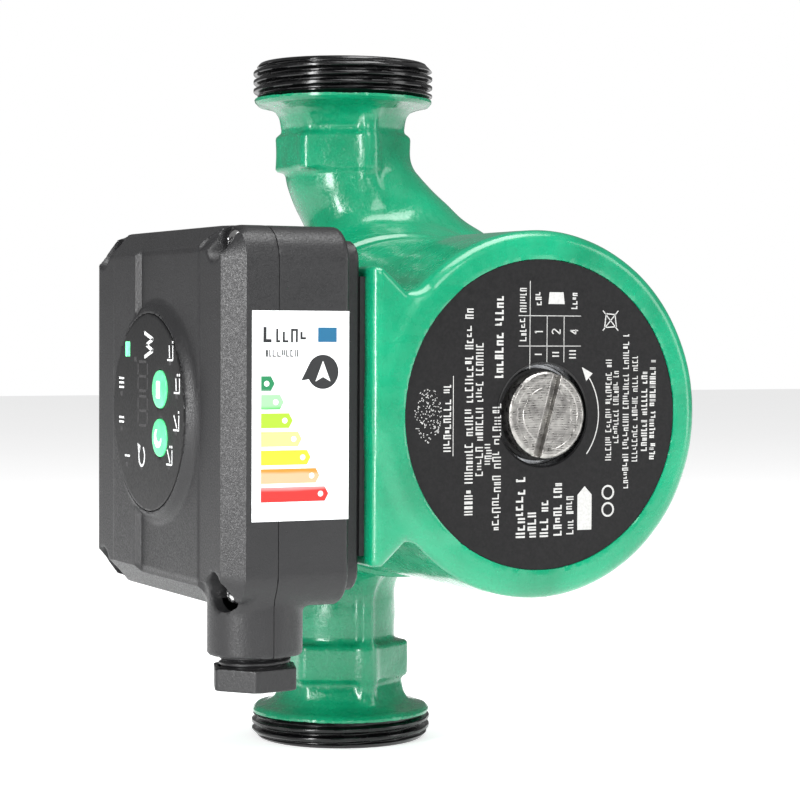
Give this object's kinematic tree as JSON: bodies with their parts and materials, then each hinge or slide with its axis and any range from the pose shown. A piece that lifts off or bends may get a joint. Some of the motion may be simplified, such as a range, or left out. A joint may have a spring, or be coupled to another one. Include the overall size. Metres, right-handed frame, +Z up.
{
  "type": "circulator pump",
  "caption": "In-line wet-rotor circulator pump with threaded ports, a round motor can and a square control box with display and push buttons.",
  "frame": {"origin": "centre of the inlet (lower) port face", "axes": "+Z up the pipe from inlet to outlet, -Y out of the motor's front, -X out of the control box's display"},
  "size_m": [0.1299, 0.1329, 0.18],
  "materials": {
    "green_casting": "glossy enamel on a cast surface",
    "green_can": "glossy enamel",
    "nameplate_print": "matt black with white print",
    "plug_nickel": "turned nickel-plated brass",
    "seal_rubber": "matt",
    "box_plastic": "fine grain",
    "screw_zinc": "bright zinc",
    "display_black": "smoked gloss",
    "button_mint": "satin",
    "label_paper": "satin",
    "gland_plastic": "satin",
    "stainless": "satin",
    "impeller_plastic": "satin",
    "bearing_ceramic": "polished",
    "rotor_iron": "dull",
    "stator_iron": "laminated",
    "winding_copper": "enamelled wire",
    "bobbin_plastic": "satin",
    "connector_plastic": "satin",
    "board_green": "solder mask",
    "display_module_grey": "satin",
    "led_white": "clear",
    "switch_black": "satin",
    "capacitor_sleeve": "heat-shrunk sleeve",
    "terminal_green": "satin"
  },
  "bodies": {
    "root": {"bearing_plate": "stainless", "board_screws": "screw_zinc", "box_pad_gasket": "seal_rubber", "box_screws": "screw_zinc", "box_seal": "seal_rubber", "button_switches": "switch_black", "capacitor": "capacitor_sleeve", "choke": "winding_copper", "circuit_board": "board_green", "coil_bobbins": "bobbin_plastic", "control_box_base": "box_plastic", "control_box_cover": "box_plastic", "cover_screws": "screw_zinc", "display_board": "board_green", "display_module": "display_module_grey", "display_window": "display_black", "front_bearing": "bearing_ceramic", "gland_body": "gland_plastic", "housing_gasket": "seal_rubber", "housing_screws": "screw_zinc", "indicator_leds": "led_white", "motor_connector": "connector_plastic", "motor_housing": "green_can", "nameplate": "nameplate_print", "neck_ring": "stainless", "power_module": "switch_black", "pump_housing": "green_casting", "rating_label": "label_paper", "rear_bearing": "bearing_ceramic", "rotor_can": "stainless", "stator_core": "stator_iron", "stator_windings": "winding_copper", "terminal_block": "terminal_green"},
    "rotor": {"rotor_shaft": "bearing_ceramic", "thrust_ring": "bearing_ceramic", "rotor_core": "rotor_iron", "rotor_sleeve": "stainless", "impeller": "impeller_plastic"},
    "mode_button_body": {"mode_button": "button_mint"},
    "speed_button_body": {"speed_button": "button_mint"},
    "vent_washer": {"vent_seal": "seal_rubber"},
    "vent_plug_body": {"vent_plug": "plug_nickel"},
    "gland_squeeze": {"gland_seal": "seal_rubber", "gland_clamp_ring": "gland_plastic"},
    "gland_nut_body": {"gland_nut": "gland_plastic"}
  },
  "joints": [
    {"name": "rotor_spin", "type": "hinge", "parent": "root", "child": "rotor", "pos_m": [0, -0.06, 0.09], "axis": [0, -1, 0], "continuous": true},
    {"name": "mode_press", "type": "slide", "parent": "root", "child": "mode_button_body", "axis": [1, 0, 0], "range_m": [0, 0.0006], "stiffness_N_per_m": 900, "springref_m": -0.0004},
    {"name": "speed_press", "type": "slide", "parent": "root", "child": "speed_button_body", "axis": [1, 0, 0], "range_m": [0, 0.0006], "stiffness_N_per_m": 900, "springref_m": -0.0004},
    {"name": "vent_lift", "type": "slide", "parent": "root", "child": "vent_washer", "axis": [0, -1, 0], "range_m": [0, 0.0075]},
    {"name": "vent_turn", "type": "hinge", "parent": "vent_washer", "child": "vent_plug_body", "pos_m": [0, -0.105, 0.09], "axis": [0, -1, 0], "range_deg": [0, 1800]},
    {"name": "gland_travel", "type": "slide", "parent": "root", "child": "gland_squeeze", "axis": [0, 0, -1], "range_m": [-0.001, 0.00225]},
    {"name": "gland_turn", "type": "hinge", "parent": "gland_squeeze", "child": "gland_nut_body", "pos_m": [-0.065, -0.092, 0.032], "axis": [0, 0, -1], "range_deg": [-240, 540]}
  ],
  "couplings": [
    {"joint": "vent_lift", "follows": "vent_turn", "m_per_rad": 0.00023873},
    {"joint": "gland_travel", "follows": "gland_turn", "m_per_rad": 0.00023873}
  ]
}
